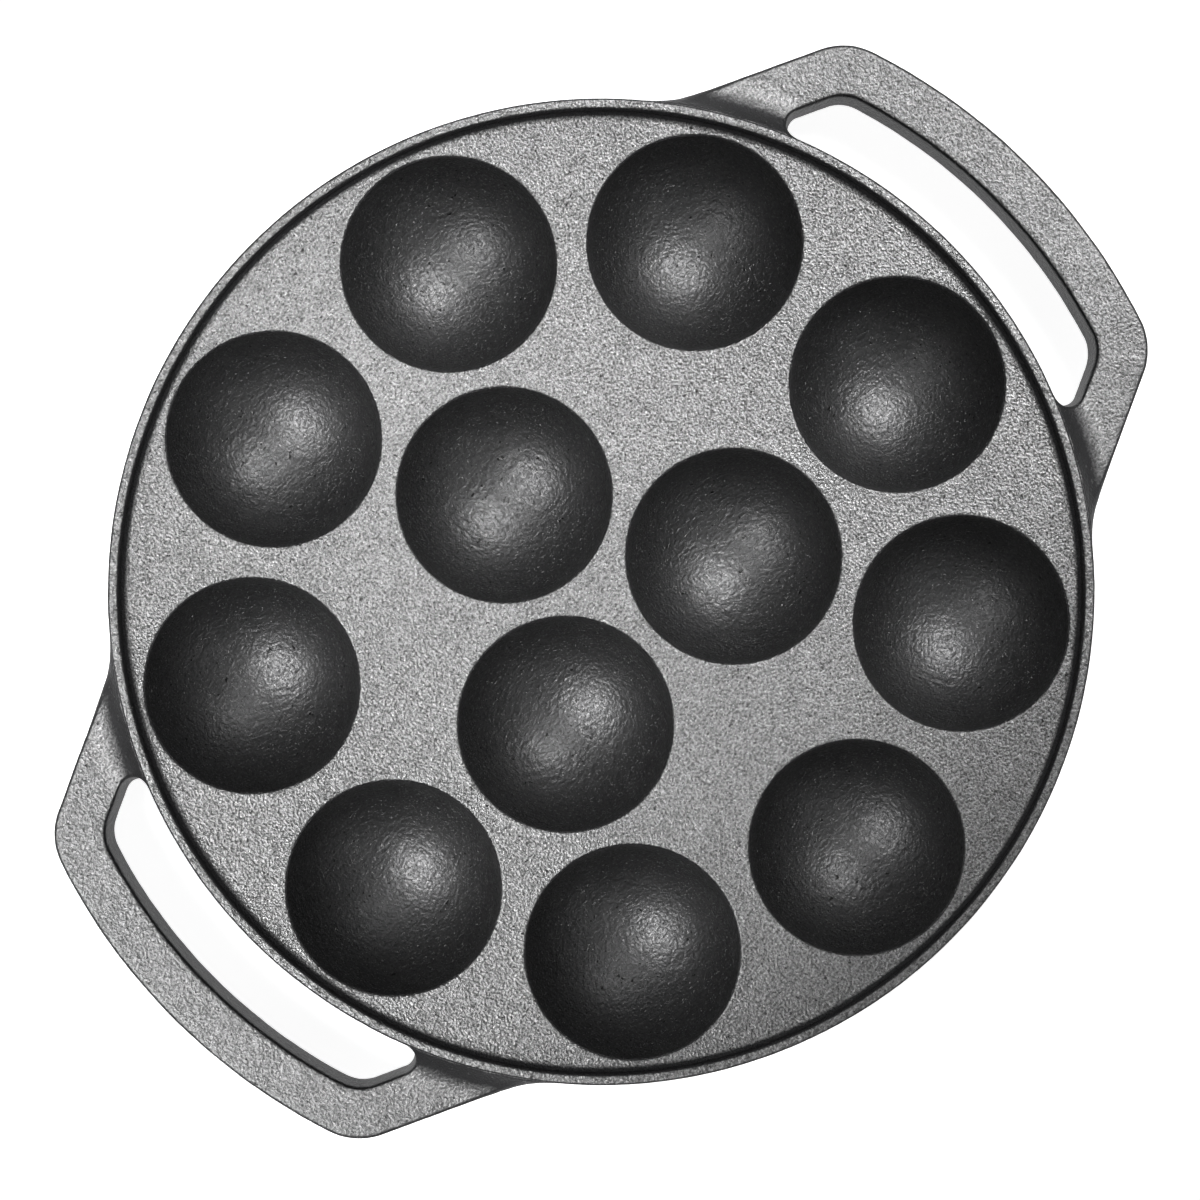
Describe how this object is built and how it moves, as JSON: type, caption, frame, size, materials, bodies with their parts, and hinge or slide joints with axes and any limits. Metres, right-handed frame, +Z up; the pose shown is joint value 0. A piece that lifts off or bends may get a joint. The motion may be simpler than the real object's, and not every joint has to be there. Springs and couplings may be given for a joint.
{
  "type": "paniyaram pan",
  "caption": "Round cast-iron pan with round-bottomed cups in a flat deck, a raised rim and two loop handles.",
  "frame": {"origin": "centre of the pan in the plane that the cups' feet stand on", "axes": "+X along the two handles, +Z up out of the cups, one outer cup on -Y"},
  "size_m": [0.2854, 0.23, 0.0295],
  "materials": {
    "deck_iron": "sand-cast skin, lightly seasoned",
    "rim_iron": "sand-cast skin, lightly seasoned",
    "cup_iron": "seasoned dark, fine orange-peel",
    "handle_iron": "sand-cast skin, lightly seasoned"
  },
  "bodies": {
    "root": {"deck": "deck_iron", "rim": "rim_iron", "cup_01": "cup_iron", "cup_02": "cup_iron", "cup_03": "cup_iron", "cup_04": "cup_iron", "cup_05": "cup_iron", "cup_06": "cup_iron", "cup_07": "cup_iron", "cup_08": "cup_iron", "cup_09": "cup_iron", "cup_10": "cup_iron", "cup_11": "cup_iron", "cup_12": "cup_iron", "handle_right": "handle_iron", "handle_left": "handle_iron"}
  },
  "joints": []
}
